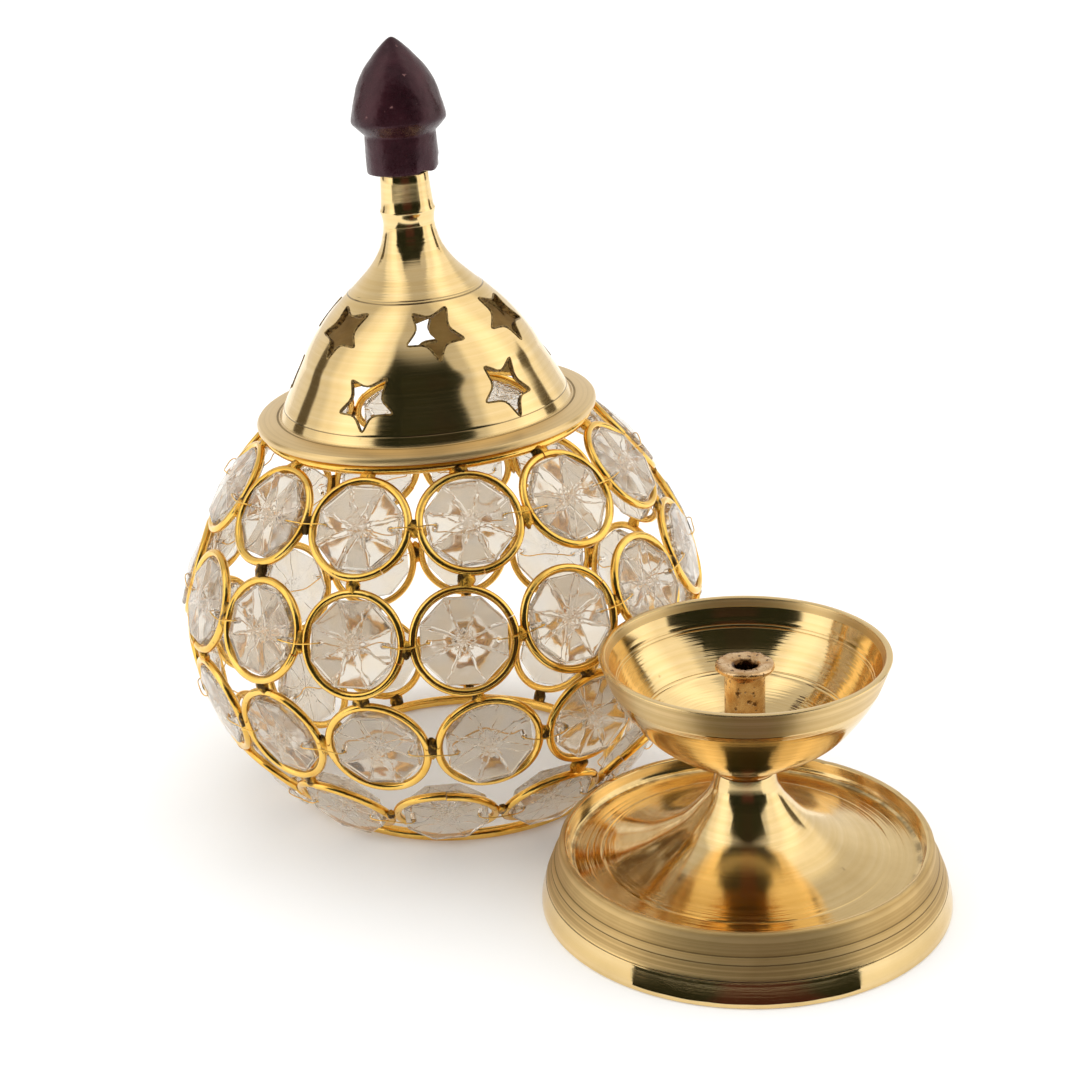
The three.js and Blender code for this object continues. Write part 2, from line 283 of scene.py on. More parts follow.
def rough_metal(name, in_rings, grain, stain, tones, polish, depth):
    """Unpolished metal. A grain, in rings about the axis or all over, makes its surface, and a stain
    turns the first tone into the second. Both are a scale, a detail and a roughness, and the stain,
    which may be the grain itself, has the two values between which it comes on."""
    material, tree, shader = start_material(name, Metallic=1.0)
    spots = object_coords(tree)
    surface = speckle(tree, ring_coords(tree) if in_rings else spots, *grain)
    *kind, low, high = stain
    stained = spread(tree, speckle(tree, spots, *kind) if kind else surface, low, high)
    feed(tree, shader, Base_Color=blend_colour(tree, stained, *tones),
         Roughness=spread(tree, surface, 0.3, 0.7, *polish), Normal=bump(tree, surface, depth))
    return material


def cast_brass():
    """Rough cast brass with a coppery tone, pits and dark specks, and painted shade inside the bore,
    which is coloured dark brown.
    """
    material, tree, shader = start_material("cast_brass", Metallic=1.0)
    spots = object_coords(tree)
    lumps = speckle(tree, spots, 420, 5.0, 0.6)
    grain = speckle(tree, spots, 2600, 3.0, 0.6)
    tone = blend_colour(tree, spread(tree, lumps, 0.35, 0.65),
                        rgb(0.58, 0.33, 0.13), rgb(0.84, 0.60, 0.34))
    pits = spread(tree, speckle(tree, spots, 900, 3.0, 0.5), 0.60, 0.70)
    pitted = blend_colour(tree, pits, tone, rgb(0.16, 0.08, 0.03))
    # Painted shade: within a small radius of the axis, inside the bore, the colour turns dark brown.
    bore_shade = spread(tree, split(tree, ring_coords(tree))["X"], 0.0023, 0.0027, 1, 0)
    holes = bump(tree, maths(tree, "SUBTRACT", lumps, pits), 0.0002)
    feed(tree, shader, Base_Color=blend_colour(tree, bore_shade, pitted, rgb(0.10, 0.045, 0.015)),
         Roughness=spread(tree, grain, 0.3, 0.7, 0.12, 0.30),
         Normal=bump(tree, grain, 0.00003, under=holes))
    return material


def gold_wire():
    """Bright gold plating on drawn wire: nearly a mirror, with draw marks and thin spots."""
    material, tree, shader = start_material("gold_wire", Metallic=1.0)
    spots = object_coords(tree)
    wide = speckle(tree, spots, 160, 3.0, 0.5)
    grain = speckle(tree, spots, 2400, 3.0, 0.6)
    tone = blend_colour(tree, spread(tree, wide, 0.35, 0.7),
                        rgb(0.95, 0.62, 0.16), rgb(0.83, 0.48, 0.085))
    worn = spread(tree, speckle(tree, spots, 700, 4.0, 0.6), 0.66, 0.76, 0, 0.8)
    feed(tree, shader, Base_Color=blend_colour(tree, worn, tone, rgb(0.30, 0.17, 0.04)),
         Roughness=spread(tree, grain, 0.3, 0.7, 0.10, 0.22),
         Normal=bump(tree, grain, 0.00001, under=bump(tree, wide, 0.00025)))
    return material


def crystal():
    """Clear pressed crystal with a slight wave in its faces. Its grey-beige colour, a little different
    from bead to bead, is painted shade: it stands in for the dimmer surroundings seen through the beads.
    """
    material, tree, shader = start_material("crystal", Transmission_Weight=0.94, IOR=1.47)
    spots = object_coords(tree)
    chance = node(tree, "ShaderNodeObjectInfo").outputs["Random"]
    offset = node(tree, "ShaderNodeCombineXYZ", {"X": chance, "Y": chance, "Z": chance}).outputs[0]
    apart = node(tree, "ShaderNodeVectorMath", {0: spots, 1: offset}, operation="ADD").outputs[0]
    wave = speckle(tree, apart, 250, 1.0, 0.5)
    # Painted shade: this grey-beige base colour darkens all that is seen through a bead, in place of
    # dimmer surroundings. Champagne patches are mixed into it below.
    see_through_shade = blend_colour(tree, chance, rgb(0.73, 0.675, 0.60), rgb(0.725, 0.68, 0.62))
    champagne_and_shade = blend_colour(tree, spread(tree, wave, 0.35, 0.7), see_through_shade, rgb(0.75, 0.665, 0.545))
    parts = split(tree, spots)
    turn = maths(tree, "SUBTRACT", maths(tree, "ARCTAN2", parts["Y"], parts["X"]), math.pi / 8)
    wobble = spread(tree, wave, 0.3, 0.7, -0.09, 0.09)
    along = times(tree, maths(tree, "ADD", turn, wobble), 4.0)
    between = maths(tree, "ABSOLUTE", maths(tree, "SINE", along))
    out = split(tree, ring_coords(tree))["X"]
    from_ray = times(tree, times(tree, between, out), 0.25)
    petal = spread(tree, between, 0, 1, 0.0009, 0.0021)
    from_petal = maths(tree, "ABSOLUTE", maths(tree, "SUBTRACT", out, petal))
    rays = spread(tree, maths(tree, "MINIMUM", from_ray, from_petal), 0, 0.0002, 1, 0)
    moulded = bump(tree, rays, 0.00007, under=bump(tree, wave, 0.00005))
    smear = spread(tree, speckle(tree, spots, 900, 3.0, 0.6), 0.4, 0.8, 0.03, 0.09)
    feed(tree, shader, Base_Color=champagne_and_shade, Roughness=smear, Normal=moulded)
    return material


def phenolic():
    """Dark maroon moulding: soft gloss, a mottled tone, small pale nicks."""
    material, tree, shader = start_material(
        "phenolic", IOR=1.5, Specular_IOR_Level=0.42, Specular_Tint=rgb(1.0, 0.66, 0.73))
    spots = object_coords(tree)
    mottle = speckle(tree, spots, 130, 5.0, 0.6)
    grain = speckle(tree, spots, 1500, 4.0, 0.6)
    nick = spread(tree, speckle(tree, spots, 620, 3.0, 0.55), 0.70, 0.74)
    tone = blend_colour(tree, spread(tree, mottle, 0.35, 0.7),
                        rgb(0.012, 0.0026, 0.0046), rgb(0.034, 0.0075, 0.0115))
    dents = bump(tree, speckle(tree, spots, 260, 2.0, 0.5), 0.00025)
    feed(tree, shader, Base_Color=blend_colour(tree, nick, tone, rgb(0.17, 0.085, 0.08)),
         Roughness=spread(tree, grain, 0.3, 0.7, 0.20, 0.36),
         Normal=bump(tree, grain, 0.00003, under=dents))
    return material


FOOT_BRASS = turned_brass("turned_brass_foot", 0.0000032, 0.5, 0.09, (0.0, 0.0108),
                          (0.005, 0.0128, 0.0352, 1.0), (0.00495, 0.00775, 0.0091),
                          (0.0326, 0.0338, 0.0, 0.0106))
BOWL_BRASS = turned_brass("turned_brass_bowl", 0.0000024, 0.20, 0.07, (0.030, 0.048),
                          (0.046, 0.0516, 0.0256, 0.6))
LID_BRASS = turned_brass("turned_brass_lid", 0.0000016, 0.20, 0.07, (0.1105, 0.121),
                         (0.02, 0.0856, 0.030, 0.55), (0.0876, 0.1101))
# The walls of the sawn stars, with dark burnt edges.
SAWN_BRASS = rough_metal("sawn_brass", False, (1500, 4.0, 0.7), (0.4, 0.65),
                         (rgb(0.40, 0.27, 0.10), rgb(0.035, 0.022, 0.010)), (0.3, 0.55), 0.0002)
# The inside of the lid: dull and brown, with coarse tool marks.
INNER_BRASS = rough_metal("inner_brass", True, (900, 3.0, 0.6), (120, 4.0, 0.6, 0.35, 0.7),
                          (rgb(0.42, 0.29, 0.11), rgb(0.24, 0.16, 0.06)), (0.38, 0.6), 0.00005)
CAST_BRASS = cast_brass()
GOLD_WIRE = gold_wire()
# Plated solder, lumpy, with burnt flux left on it.
SOLDER = rough_metal("solder", False, (620, 5.0, 0.65), (230, 3.0, 0.6, 0.46, 0.56),
                     (rgb(0.86, 0.47, 0.07), rgb(0.07, 0.04, 0.012)), (0.14, 0.38), 0.0005)
CRYSTAL = crystal()
PHENOLIC = phenolic()
# Zinc-plated fasteners.
STEEL = rough_metal("steel", False, (1300, 4.0, 0.6), (0.3, 0.7),
                    (rgb(0.42, 0.42, 0.40), rgb(0.62, 0.61, 0.58)), (0.28, 0.45), 0.00005)


# ---------- shape helpers
def spline(points, steps, closed=False):
    """Points on a smooth curve through a few points, with this many steps to each gap."""
    knots = [Vector(p) for p in points]
    count = len(knots)

    def knot(i):
        if closed:
            return knots[i % count]
        if i < 0:
            return 2 * knots[0] - knots[1]
        if i >= count:
            return 2 * knots[-1] - knots[-2]
        return knots[i]

    route = []
    for i in range(count if closed else count - 1):
        a, b, c, d = knot(i - 1), knot(i), knot(i + 1), knot(i + 2)
        for step in range(steps):
            t = step / steps
            route.append(0.5 * (2 * b + (c - a) * t + (2 * a - 5 * b + 4 * c - d) * t * t
                                + (3 * b - a - 3 * c + d) * t ** 3))
    if not closed:
        route.append(knots[-1])
    return route


def grooved(profile, height, depth, width, first=True):
    """Cuts a small groove into a profile where it passes a height. The metal is on the left."""
    points = [Vector(p) for p in profile]
    crossings = [i for i in range(len(points) - 1)
                 if (points[i].y - height) * (points[i + 1].y - height) <= 0
                 and points[i].y != points[i + 1].y]
    i = crossings[0 if first else -1]
    a, b = points[i], points[i + 1]
    along = (b - a).normalized()
    outward = Vector((along.y, -along.x))
    spot = a + (b - a) * ((height - a.y) / (b.y - a.y))
    lowered = [spot - along * width, spot - along * width * 0.3 - outward * depth,
               spot + along * width * 0.3 - outward * depth, spot + along * width]
    before = [p for p in points[:i + 1] if (p - spot).length > width]
    after = [p for p in points[i + 1:] if (p - spot).length > width]
    return before + lowered + after


class Shape:
    """Vertices in millimetres, and faces, of one piece."""

    def __init__(self):
        self.points = []
        self.faces = []

    def add(self, points, faces, place=None):
        start = len(self.points)
        self.points += [place @ p for p in points] if place else points
        self.faces += [[start + i for i in face] for face in faces]

    def mesh(self, name, sharp=35):
        """A smooth mesh, with its edges sharp from an angle in degrees."""
        mesh = bpy.data.meshes.new(name)
        mesh.from_pydata([p * MM for p in self.points], [], self.faces)
        mesh.validate()
        mesh.shade_smooth()
        mesh.set_sharp_from_angle(angle=math.radians(sharp))
        return mesh


def put(name, made, material, body, place, replaced=(), sharp=35):
    """Makes the piece, from a shape or a ready mesh, and joins it to the frame."""
    mesh = made.mesh(name, sharp) if isinstance(made, Shape) else made
    obj = bpy.data.objects.new(name, mesh)
    link(obj)
    if not mesh.materials:
        mesh.materials.append(material)
    obj.matrix_world = place
    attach(obj, body)
    if replaced:
        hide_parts(*replaced)


def turned(profile, segments, shift=None):
    """The points and faces of a profile turned about Z. It ends on the axis or where it began."""
    shape = Shape()
    rings = []
    for r, z in profile:
        start = len(shape.points)
        if r < 1e-6:
            shape.points.append(rise(z))
            rings.append([start] * segments)
            continue
        shape.points += [polar(r, math.tau * i / segments, z) for i in range(segments)]
        rings.append(list(range(start, start + segments)))
    if (Vector(profile[0]) - Vector(profile[-1])).length < 1e-6:
        rings[-1] = rings[0]
        shape.points = shape.points[:-segments]
    for low, high in zip(rings, rings[1:]):
        for i in range(segments):
            j = (i + 1) % segments
            corners = list(dict.fromkeys((low[i], low[j], high[j], high[i])))
            if len(corners) > 2:
                shape.faces.append(corners)
    if shift:
        shape.points = [shift(p) for p in shape.points]
    return shape


def wire(shape, route, radius, sides, closed=False, reference=None):
    """A round wire along a route, with flat ends if it is open."""
    count = len(route)
    across = None
    rows = []
    for i, spot in enumerate(route):
        ahead = route[(i + 1) % count] if closed or i + 1 < count else spot
        behind = route[i - 1] if closed or i > 0 else spot
        along = (ahead - behind).normalized()
        guide = reference or across or (rise(1) if abs(along.z) < 0.9 else Vector((1, 0, 0)))
        across = (guide - along * guide.dot(along)).normalized()
        beside = along.cross(across)
        rows.append([spot + radius * (math.cos(t) * across + math.sin(t) * beside)
                     for t in (math.tau * k / sides for k in range(sides))])
    points = [p for row in rows for p in row]
    faces = []
    for i in range(count if closed else count - 1):
        a, b = i * sides, (i + 1) % count * sides
        faces += [[a + k, a + (k + 1) % sides, b + (k + 1) % sides, b + k] for k in range(sides)]
    if not closed:
        faces.append(list(range(sides))[::-1])
        faces.append([(count - 1) * sides + k for k in range(sides)])
    shape.add(points, faces)


def lump(shape, centre, axes, size, seed):
    """A lump of solder: three axes, three half sizes, and an uneven surface."""
    rough = 0.35
    made = bmesh.new()
    bmesh.ops.create_icosphere(made, subdivisions=3, radius=1)
    away = Vector((seed * 3.7, seed * 1.3, seed * 5.9))
    points = []
    for vertex in made.verts:
        p = vertex.co.copy()
        uneven = 1 + rough * noise.noise(p * 1.4 + away) + rough * 0.5 * noise.noise(p * 3.5 + away)
        p *= uneven
        points.append(centre + axes[0] * p.x * size[0] + axes[1] * p.y * size[1]
                      + axes[2] * p.z * size[2])
    faces = [[v.index for v in face.verts] for face in made.faces]
    made.free()
    shape.add(points, faces)


def cut(mesh, tool, material=None):
    """Cuts one mesh from another and returns what is left."""
    body = bpy.data.objects.new("cut_body", mesh)
    knife = bpy.data.objects.new("cut_tool", tool)
    for obj in (body, knife):
        link(obj)
    if material:
        tool.materials.append(material)
    step = body.modifiers.new("cut", "BOOLEAN")
    step.operation = "DIFFERENCE"
    step.solver = "EXACT"
    step.object = knife
    step.material_mode = "TRANSFER"
    ready = body.evaluated_get(bpy.context.evaluated_depsgraph_get())
    left = bpy.data.meshes.new_from_object(ready)
    bpy.data.objects.remove(body)
    bpy.data.objects.remove(knife)
    return left


# ---------- base
def make_foot():
    skirt = [(40, 0.25), (40, 1.0), (39.85, 1.9), (39.6, 2.8), (39.05, 4.9), (38.5, 6.3), (38.05, 7.4),
             (37.9, 7.9), (37.45, 8.7), (37.1, 9.4), (36.55, 11.3), (36.25, 12.4), (35.95, 12.9)]
    for height, depth, width in ((4.95, 0.07, 0.12), (7.75, 0.07, 0.12), (9.1, 0.03, 0.08)):
        skirt = grooved(skirt, height, depth, width)
    lip = [(35.7, 13.07), (35.35, 13.12), (35.0, 13.1), (34.75, 12.95), (34.6, 12.5), (34.45, 11.2),
           (34.25, 10.5)]
    tray = spline([(33.8, 10.02), (32.9, 9.8), (30.5, 9.95), (26.5, 10.7), (19.5, 12.9), (13.2, 16.4),
                   (8.9, 20.6), (6.7, 24), (5.8, 27.5)], 10)
    tray = grooved(tray, 9.92, 0.02, 0.09, first=False)
    tray = grooved(tray, 10.35, 0.02, 0.09)
    under = spline([(2.6, 17), (7.2, 17), (10.5, 14.2), (18, 10.6), (27, 8.2), (33, 7.4),
                    (36.9, 4), (37.6, 0.3)], 4)
    profile = skirt + lip + tray + [(2.6, 27.5)] + under + [(37.85, 0), (39.7, 0), (40, 0.25)]
    rough = random.Random(4)
    nicks = [(rough.uniform(0, math.tau), rough.uniform(0.02, 0.07), rough.uniform(0.05, 0.16))
             for _ in range(26)]

    def worn(p):
        """Small dents along the tray's lip."""
        if p.z > 12.8 and 34.5 < Vector((p.x, p.y)).length < 36.1:
            turn = math.atan2(p.y, p.x) % math.tau
            for at, width, depth in nicks:
                p = p - Vector((0, 0, depth * math.exp(-((turn - at) / width) ** 2)))
        return p

    put("foot_turned", turned(profile, 256, worn), FOOT_BRASS, "base", BASE_PLACE,
        ["foot"])


def make_bowl():
    outside = spline([(6.6, 29.7), (9.8, 30.9), (13.6, 32.9), (18.8, 36.8), (22.3, 41.1), (25.1, 45.6),
                      (27.35, 51.5)], 8)
    rim = [(27.48, 51.85), (27.4, 52.0), (27.1, 52.06), (26.5, 52.06), (26.25, 51.95), (26.1, 51.6)]
    inside = spline([(25.9, 51.1), (23.6, 45.9), (20.7, 41.6), (17, 37.7), (12, 34.3), (6.5, 32.2),
                     (3, 31.7), (0, 31.6)], 8)
    for height, depth, width in ((47.2, 0.07, 0.12), (46.6, 0.07, 0.12), (39.6, 0.06, 0.12),
                                 (39.1, 0.04, 0.1)):
        inside = grooved(inside, height, depth, width)
    stud = [(0, 12.4), (2.3, 12.4), (2.3, 27.8)]
    foot_ring = [(6.0, 27.8), (6.15, 28.0), (6.1, 29.2), (6.25, 29.5)]
    profile = stud + foot_ring + outside + rim + inside
    put("bowl_turned", turned(profile, 224), BOWL_BRASS, "base", BASE_PLACE,
        ["bowl"])


def make_wick_holder():
    outside = [(2.15, 32.7), (6.2, 32.7), (6.4, 33.0), (6.35, 33.6), (4.6, 34.1), (3.95, 34.9)]
    tube = [(3.85, z) for z in (36, 37.5, 39, 40.5, 42, 43.5, 45, 46.2)]
    top = [(3.9, 47.2), (4.2, 48.0), (4.9, 48.5), (5.5, 48.75), (5.65, 49.1), (5.55, 49.5), (5.3, 49.75),
           (4.6, 49.82), (3.6, 49.7), (2.7, 49.55), (2.3, 49.3), (2.1, 48.8)]
    bore = [(2.1, z) for z in (46, 43, 40, 37, 34)]

    def cast(p):
        """Cast metal: the surface is uneven, and the bore isn't quite in the middle."""
        out = Vector((p.x, p.y, 0)).normalized()
        uneven = 0.16 * noise.noise(p * 0.55) + 0.09 * noise.noise(p * 1.6)
        off = Vector((0.25, -0.1, 0)) if Vector((p.x, p.y)).length < 2.5 else rise(0)
        return p + out * uneven + rise(uneven * 0.5) + off

    profile = outside + tube + top + bore + [(2.15, 32.7)]
    put("wick_holder_cast", turned(profile, 64, cast), CAST_BRASS, "wick_holder",
        BASE_PLACE, ["wick_holder"], sharp=60)


# ---------- lid and knob
def star_tool():
    """The saw cuts in the lid: uneven five-pointed stars, each with its own turn."""
    shape = Shape()
    chance = random.Random(11)
    for row in STAR_ROWS:
        for azimuth, star_turn in row["stars"]:
            outline = []
            for k in range(10):
                size = STAR_RADIUS if k % 2 == 0 else STAR_RADIUS * STAR_WAIST
                size *= 1 + chance.uniform(-STAR_UNEVEN, STAR_UNEVEN)
                turn = (math.pi / 2 + k * math.pi / 5 + math.radians(star_turn)
                        + chance.uniform(-0.05, 0.05))
                outline.append(polar(size, turn))
            outline = blunted(outline)
            place = ring_place(row, math.radians(azimuth - 90))
            below = [p + rise(-5) for p in outline]
            above = [p + rise(3) for p in outline]
            count = len(outline)
            faces = [list(range(count))[::-1], list(range(count, 2 * count))]
            faces += [[k, (k + 1) % count, (k + 1) % count + count, k + count] for k in range(count)]
            shape.add(below + above, faces, place)
    return shape.mesh("star_tool")


def blunted(outline):
    """Rounds each corner a little, as a saw leaves it."""
    out = []
    count = len(outline)
    for i, p in enumerate(outline):
        before = outline[i - 1]
        after = outline[(i + 1) % count]
        share = 0.16 if i % 2 == 0 else 0.24
        a = p.lerp(before, share)
        b = p.lerp(after, share)
        out += [a, (a + b) * 0.3 + p * 0.4, b]
    return out


def ring_place(row, azimuth, up_angle=None):
    """The place of a ring or star: its own Z faces outward, tipped up by the row's angle."""
    tip = math.radians(row["faces_up"] if up_angle is None else up_angle)
    out = polar(1, azimuth)
    normal = out * math.cos(tip) + rise(math.sin(tip))
    along = Vector((-math.sin(azimuth), math.cos(azimuth), 0))
    place = Matrix((along, normal.cross(along), normal)).transposed().to_4x4()
    place.translation = out * row["radius"] + rise(row["z"])
    return place


def rims_of(mesh):
    """The outer edges of the sawn holes, each as a closed route in millimetres."""
    sides = {}
    for face in mesh.polygons:
        for edge in face.edge_keys:
            sides.setdefault(edge, set()).add(face.material_index)
    beside = {}
    for (a, b), indices in sides.items():
        if indices == {0, 1}:
            beside.setdefault(a, []).append(b)
            beside.setdefault(b, []).append(a)
    routes = []
    seen = set()
    for start in sorted(beside):
        if start in seen:
            continue
        chain = [start]
        seen.add(start)
        while True:
            ahead = [i for i in beside[chain[-1]] if i not in seen]
            if not ahead:
                break
            chain.append(ahead[0])
            seen.add(ahead[0])
        route = []
        for i in chain:
            spot = mesh.vertices[i].co / MM
            if not route or (spot - route[-1]).length > RIM_STEP:
                route.append(spot)
        if len(route) > RIM_POINTS:
            routes.append(route)
    return routes


def make_lid():
    flange = [(29.2, 83.6), (34.9, 83.6), (35.25, 83.75), (35.35, 84.1), (35.3, 84.75), (35.0, 85.15),
              (34.5, 85.3), (32.6, 85.5), (31.2, 85.66), (30.75, 85.62), (30.45, 85.75), (30.25, 86.1)]
    dome = spline([(29.85, 86.9), (27.4, 91.4), (25.2, 95.3), (23.5, 98.6), (21.3, 102), (18.7, 105.3),
                   (15.5, 108.6), (11.9, 111.9), (8.7, 115.2), (6.55, 118.5), (5.5, 121.7),
                   (5.2, 123.4)], 8)
    for height, depth, width in ((87.6, 0.02, 0.08), (110.1, 0.05, 0.11), (110.6, 0.03, 0.08)):
        dome = grooved(dome, height, depth, width)
    neck = [(5.22, 124.2), (5.35, 125.1), (5.55, 125.9), (5.66, 126.2), (5.6, 126.45), (5.35, 127.0),
            (5.2, 128.6), (4.95, 132), (4.85, 133.5), (4.75, 133.7)]
    inside = spline([(5.2, 117.6), (8.3, 113.6), (14.8, 107.6), (20.4, 101.4), (24.2, 94.9),
                     (26.3, 91.2), (28.6, 87), (29.2, 84.6)], 8)
    profile = flange + dome + neck + [(2, 133.7), (2, 118.5)] + inside + [(29.2, 83.6)]
    mesh = turned(profile, 288).mesh("lid_turned")
    mesh.materials.append(LID_BRASS)
    mesh = cut(mesh, star_tool(), SAWN_BRASS)
    mesh.name = "lid_turned"
    mesh.set_sharp_from_angle(angle=math.radians(35))
    mesh.materials.append(INNER_BRASS)
    for face in mesh.polygons:
        out = Vector((face.center.x, face.center.y, 0)).normalized()
        if face.material_index == 0 and face.normal.dot(out) < -0.05 and face.center.z < 0.12:
            face.material_index = 2
    burrs = Shape()
    for route in rims_of(mesh):
        wire(burrs, route, STAR_BURR, 6, closed=True)
    put("lid_turned", mesh, LID_BRASS, "cover", cover_place(1), ["lid"])
    put("star_burrs", burrs, SAWN_BRASS, "cover", cover_place(1), sharp=80)


def make_knob():
    stem = [(2.2, 134.1), (6.9, 134.05), (7.3, 134.2), (7.4, 134.7), (7.32, 137), (7.25, 139.5),
            (7.2, 141.2), (7.12, 141.55), (7.3, 141.9), (7.75, 142.3)]
    rim = [(8.5, 143.1), (9.2, 143.85), (9.45, 144.25), (9.5, 144.6), (9.42, 145.2)]
    nose = spline([(9.1, 146.8), (8.7, 148.4), (8.2, 149.95), (7.7, 151.4), (6.85, 153.1), (5.85, 154.7),
                   (4.65, 156.2), (3.3, 157.75), (1.6, 159.35), (0.75, 160.0)], 4)
    tip = [(0.35, 160.22), (0, 160.28)]

    def moulded(p):
        """An uneven moulding: a chipped lower edge and a few dents."""
        uneven = 0.10 * noise.noise(p * 0.22 + Vector((3, 1, 7))) + 0.05 * noise.noise(p * 0.8)
        out = Vector((p.x, p.y, 0))
        out = out.normalized() if out.length > 0.01 else rise(0)
        if p.z < 135:
            turn = math.atan2(p.y, p.x)
            chip = max(0.0, noise.noise(polar(1.7, turn, 4.2)))
            p = p + rise(1.5 * chip) - out * 1.1 * chip
        return p + out * uneven

    profile = [(0, 143), (2.0, 143), (2.0, 134.3)] + stem + rim + nose + tip
    put("knob_moulded", turned(profile, 128, moulded), PHENOLIC, "cover", cover_place(1),
        ["knob"], sharp=50)


# ---------- cage wires
def bent_ring(radius, wobble, seed, seam=None, gap=0.0, steps=72):
    """The route of a hand-bent ring in its own plane. With a seam it is open there by a gap."""
    start = 0.0 if seam is None else seam + gap / radius / 2
    sweep = math.tau if seam is None else math.tau - gap / radius
    count = steps if seam is None else steps + 1
    route = []
    for i in range(count):
        turn = start + sweep * i / steps
        off = polar(1, turn)
        r = radius + wobble * noise.noise(off * 0.9 + Vector((seed * 7.1, 3.3, 1.7)))
        lift = wobble * noise.noise(off * 0.8 + Vector((2.9, seed * 5.3, 9.1)))
        if seam is not None:
            lift += 0.18 * (i / steps - 0.5)
        route.append(off * r + rise(lift))
    return route


def make_hoops():
    """The thick hoop that stands on the table and the thinner one under the lid's flange."""
    for name, radius, wobble, seed, height, thick, lean in (
            ("bottom_hoop", BOTTOM_HOOP_RADIUS, 0.0, 1, BOTTOM_HOOP_WIRE + 0.03, BOTTOM_HOOP_WIRE, 0),
            ("top_hoop", TOP_HOOP_RADIUS, 0.12, 2, TOP_HOOP_Z, TOP_HOOP_WIRE, 1)):
        hoop = Shape()
        route = [p + rise(height) for p in bent_ring(radius, wobble, seed, steps=160)]
        wire(hoop, route, thick, 16, closed=True, reference=rise(1))
        put(f"{name}_wire", hoop, GOLD_WIRE, "cover", cover_place(lean), [name],
            sharp=60)


def azimuth_of(row, i):
    return math.radians(row["first"] + (i + 0.5) * 360 / row["count"])


def joint_place(row, i):
    """The place where a ring touches the one before it."""
    away = row["radius"] / math.cos(math.pi / row["count"])
    return ring_place(dict(row, radius=away), math.radians(row["first"] + i * 360 / row["count"]))


def make_ring_row(number, row):
    """The row's rings, each with the small gap where its wire was cut, and the solder between."""
    chance = random.Random(number)
    rings = Shape()
    joints = Shape()
    reach = row["outer"] - RING_WIRE
    for i in range(row["count"]):
        place = ring_place(row, azimuth_of(row, i))
        seam = chance.uniform(0, math.tau)
        flat = Shape()
        wire(flat, bent_ring(reach, 0.16, number * 20 + i, seam, SEAM_GAP), RING_WIRE, 14,
             reference=rise(1))
        rings.add(flat.points, flat.faces, place)
    for i in range(row["count"]):
        place = joint_place(row, i)
        axes = [place.col[k].to_3d() for k in range(3)]
        tall = chance.uniform(1.5, 2.7)
        lump(joints, place.translation + axes[1] * chance.uniform(-0.5, 0.6), axes,
             (1.05, tall, 0.85), number * 30 + i)
    place = cover_place(row["lean"])
    put(f"ring_row_{number}_wire", rings, GOLD_WIRE, "cover", place,
        [f"ring_row_{number}"], sharp=60)
    put(f"ring_row_{number}_solder", joints, SOLDER, "cover", place, sharp=80)


def ring_circle(row, i):
    """Points around a ring's centreline, in millimetres, where the cover stands."""
    steps = 48
    lean = cover_place(row["lean"])
    lean.translation /= MM
    place = lean @ ring_place(row, azimuth_of(row, i))
    reach = row["outer"] - RING_WIRE
    return [place @ polar(reach, math.tau * k / steps) for k in range(steps)]


def closest(pairs):
    return min(pairs, key=lambda pair: (pair[0] - pair[1]).length_squared)


def nearest(first, second):
    return closest((a, b) for a in first for b in second)


def make_links():
    """Solder from each ring to the nearest ring of the next row, and to the hoops."""
    chance = random.Random(5)
    links = Shape()
    level = cover_place(0)
    level.translation /= MM
    leant = cover_place(1)
    leant.translation /= MM
    top = [leant @ (p + rise(TOP_HOOP_Z)) for p in bent_ring(TOP_HOOP_RADIUS, 0, 0, steps=180)]
    low = [level @ (p + rise(BOTTOM_HOOP_WIRE))
           for p in bent_ring(BOTTOM_HOOP_RADIUS, 0, 0, steps=180)]
    circles = [[ring_circle(row, i) for i in range(row["count"])] for row in ROWS]
    pairs = [nearest(circle, top) for circle in circles[0]]
    for upper, lower in zip(circles, circles[1:]):
        for circle in upper:
            pairs.append(closest(nearest(circle, other) for other in lower))
    pairs += [nearest(circle, low) for circle in circles[-1]]
    for seed, (a, b) in enumerate(pairs):
        gap = (b - a).length
        if gap > LONGEST_LINK:
            continue
        middle = (a + b) / 2
        along = (b - a).normalized()
        out = middle - level.translation
        out.z = 0
        across = along.cross(out.normalized()).normalized()
        axes = [across, along, across.cross(along)]
        lump(links, middle, axes, (chance.uniform(1.2, 1.9), gap / 2 + 0.45, 0.9), seed + 200)
    put("cage_solder", links, SOLDER, "cover", Matrix.Identity(4), sharp=80)


# ---------- beads and threads
def bead_half(side, table):
    """The facets of one face of a bead: they radiate from a point, or from a small flat table."""
    r = BEAD_SIDE / math.cos(math.pi / 8 - BEAD_CORNER)
    outline = [polar(r, math.pi / 8 + k * math.pi / 4 + sign * BEAD_CORNER)
               for k in range(8) for sign in (-1, 1)]
    girdle = [p + rise(side * BEAD_GIRDLE) for p in outline]
    shoulder = [p * BEAD_SHOULDER_IN + rise(side * BEAD_SHOULDER) for p in outline]
    points = girdle + shoulder
    faces = [[k, (k + 1) % 16, 16 + (k + 1) % 16, 16 + k] for k in range(16)]
    if table:
        points += [polar(BEAD_TABLE, math.pi / 8 + k * math.pi / 4, side * BEAD_TABLE_Z)
                   for k in range(8)]
        for k in range(8):
            ahead = (k + 1) % 8
            faces.append([16 + 2 * k, 17 + 2 * k, 32 + k])
            faces.append([17 + 2 * k, 16 + 2 * ahead, 32 + ahead, 32 + k])
        faces.append([32 + k for k in range(8)])
    else:
        points.append(rise(side * BEAD_PEAK))
        faces += [[16 + k, 16 + (k + 1) % 16, 32] for k in range(16)]
    if side < 0:
        faces = [face[::-1] for face in faces]
    return points, faces


